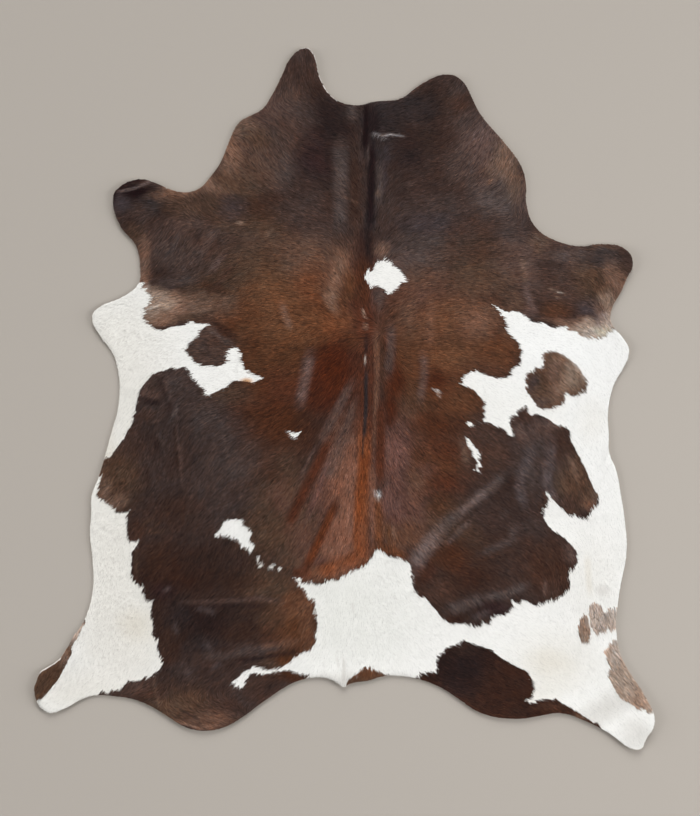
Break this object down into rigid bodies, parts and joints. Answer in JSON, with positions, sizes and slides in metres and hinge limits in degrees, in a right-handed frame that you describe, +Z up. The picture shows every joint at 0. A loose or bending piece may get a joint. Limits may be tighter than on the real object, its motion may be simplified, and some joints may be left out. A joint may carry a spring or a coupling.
{
  "type": "cowhide rug",
  "caption": "Whole cowhide rug lying flat, hair side up, with a raw cut outline of neck, shanks and tail, soft folds and a slightly lifted edge.",
  "frame": {"origin": "on the floor under the middle of the hide's outline", "axes": "+Y towards the neck, +X to the right of the hide seen from above, +Z up out of the hair side"},
  "size_m": [1.858, 2.102, 0.0179],
  "materials": {
    "hair": "short sleek brown and white cow hair",
    "leather": "pale suede underside and raw cut edge"
  },
  "bodies": {
    "root": {"hide": "hair"}
  },
  "joints": []
}
